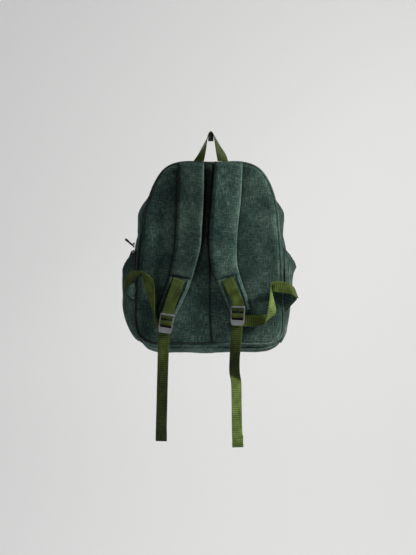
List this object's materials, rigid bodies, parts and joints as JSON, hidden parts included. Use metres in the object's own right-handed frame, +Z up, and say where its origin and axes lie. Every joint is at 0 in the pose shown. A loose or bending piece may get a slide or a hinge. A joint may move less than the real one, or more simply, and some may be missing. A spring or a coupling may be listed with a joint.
{
  "type": "school backpack",
  "caption": "Fabric school backpack with padded shoulder straps, webbing adjusters in ladder locks, side pockets, a zipped front flap and pocket, and a grab handle.",
  "frame": {"origin": "inside of the grab handle's crown, where a hook carries the bag", "axes": "+Z up along the hanging bag, +X to the right facing the shoulder straps, +Y from the straps towards the front pocket"},
  "size_m": [0.407, 0.1794, 0.7074],
  "materials": {
    "shell_fabric": "coarse heathered weave, matt",
    "lining_fabric": "plain woven lining, matt",
    "foam": "closed-cell foam, matt",
    "webbing": "ribbed woven webbing, slight sheen",
    "binding_tape": "woven tape, matt",
    "zip_tape": "herringbone zip tape, matt",
    "zip_coil": "moulded nylon coil",
    "slider_metal": "black enamel",
    "cord_pull": "moulded cord pull, matt",
    "buckle_plastic": "moulded acetal, satin"
  },
  "bodies": {
    "bag": {"back_panel": "shell_fabric", "back_foam_pad": "foam", "back_panel_lining": "lining_fabric", "laptop_sleeve": "lining_fabric", "laptop_sleeve_binding": "binding_tape", "back_piping": "shell_fabric", "rear_gusset_strip": "shell_fabric", "side_panel_left": "shell_fabric", "side_panel_right": "shell_fabric", "bottom_panel": "shell_fabric", "main_zip_tape_rear": "zip_tape", "main_zip_coil_rear": "zip_coil", "front_panel_lower": "shell_fabric", "front_pocket_gusset": "shell_fabric", "front_pocket_zip_tape_rear": "zip_tape", "front_pocket_zip_tape_front": "zip_tape", "front_pocket_zip_coil": "zip_coil", "front_pocket_panel": "shell_fabric", "side_pocket_left": "shell_fabric", "side_pocket_right": "shell_fabric", "side_pocket_binding_left": "binding_tape", "side_pocket_binding_right": "binding_tape", "wing_tab_left": "shell_fabric", "wing_tab_right": "shell_fabric", "adjuster_loop_left": "webbing", "adjuster_loop_right": "webbing"},
    "front_flap": {"front_panel_upper": "shell_fabric", "front_gusset_strip": "shell_fabric", "main_zip_tape_front": "zip_tape", "main_zip_coil_front": "zip_coil", "front_piping_upper": "shell_fabric"},
    "carry_handle": {"grab_handle": "webbing", "handle_liner": "binding_tape"},
    "upper_slider": {"main_slider_upper": "slider_metal"},
    "upper_pull": {"main_zip_pull_upper": "cord_pull"},
    "lower_slider": {"main_slider_lower": "slider_metal"},
    "lower_pull": {"main_zip_pull_lower": "cord_pull"},
    "pocket_slider": {"front_pocket_slider": "slider_metal"},
    "pocket_pull": {"front_pocket_zip_pull": "cord_pull"},
    "shoulder_strap_left": {"strap_backing_left": "lining_fabric", "strap_foam_left": "foam", "strap_cover_left": "shell_fabric", "strap_webbing_left": "webbing"},
    "strap_adjuster_left": {"ladder_lock_left": "buckle_plastic", "adjuster_threaded_left": "webbing"},
    "webbing_tail_left": {"adjuster_tail_left": "webbing"},
    "shoulder_strap_right": {"strap_backing_right": "lining_fabric", "strap_foam_right": "foam", "strap_cover_right": "shell_fabric", "strap_webbing_right": "webbing"},
    "strap_adjuster_right": {"ladder_lock_right": "buckle_plastic", "adjuster_threaded_right": "webbing"},
    "webbing_tail_right": {"adjuster_tail_right": "webbing"}
  },
  "joints": [
    {"name": "front_flap_open", "type": "hinge", "parent": "bag", "child": "front_flap", "pos_m": [-0.003, 0.092, -0.311], "axis": [-1, 0, 0], "range_deg": [0, 60]},
    {"name": "handle_fold", "type": "hinge", "parent": "bag", "child": "carry_handle", "pos_m": [0, 0, -0.0635], "axis": [1, 0, 0], "range_deg": [-60, 35]},
    {"name": "upper_slider_travel", "type": "slide", "parent": "bag", "child": "upper_slider", "axis": [0.0658, -0.0166, 0.9977], "range_m": [0, 0.075]},
    {"name": "upper_pull_swing", "type": "hinge", "parent": "upper_slider", "child": "upper_pull", "pos_m": [-0.1837, 0.0535, -0.251], "axis": [0, 1, 0], "range_deg": [-105, 45]},
    {"name": "lower_slider_travel", "type": "slide", "parent": "bag", "child": "lower_slider", "axis": [0.0658, -0.0166, 0.9977], "range_m": [-0.034, 0]},
    {"name": "lower_pull_swing", "type": "hinge", "parent": "lower_slider", "child": "lower_pull", "pos_m": [-0.18466, 0.05377, -0.268], "axis": [0, 1, 0], "range_deg": [0, 115]},
    {"name": "pocket_slider_travel", "type": "slide", "parent": "bag", "child": "pocket_slider", "axis": [1, 0, 0], "range_m": [-0.165, 0]},
    {"name": "pocket_pull_swing", "type": "hinge", "parent": "pocket_slider", "child": "pocket_pull", "pos_m": [0.081, 0.10256, -0.3176], "axis": [0, 1, 0], "range_deg": [0, 170]},
    {"name": "shoulder_strap_left_swing", "type": "hinge", "parent": "bag", "child": "shoulder_strap_left", "pos_m": [-0.0445, -0.019, -0.073], "axis": [-1, 0, 0], "range_deg": [0, 25]},
    {"name": "strap_adjuster_left_tilt", "type": "hinge", "parent": "shoulder_strap_left", "child": "strap_adjuster_left", "pos_m": [-0.0965, -0.032, -0.41], "axis": [-0.9856, 0, 0.1692], "range_deg": [0, 40]},
    {"name": "webbing_tail_left_swing", "type": "hinge", "parent": "strap_adjuster_left", "child": "webbing_tail_left", "pos_m": [-0.104, -0.028, -0.4505], "axis": [-1, 0, 0], "range_deg": [0, 45]},
    {"name": "shoulder_strap_right_swing", "type": "hinge", "parent": "bag", "child": "shoulder_strap_right", "pos_m": [0.04, -0.019, -0.073], "axis": [-1, 0, 0], "range_deg": [0, 25]},
    {"name": "strap_adjuster_right_tilt", "type": "hinge", "parent": "shoulder_strap_right", "child": "strap_adjuster_right", "pos_m": [0.0602, -0.032, -0.393], "axis": [-0.9994, 0, 0.035], "range_deg": [0, 40]},
    {"name": "webbing_tail_right_swing", "type": "hinge", "parent": "strap_adjuster_right", "child": "webbing_tail_right", "pos_m": [0.0586, -0.028, -0.4335], "axis": [-1, 0, 0], "range_deg": [0, 45]}
  ]
}
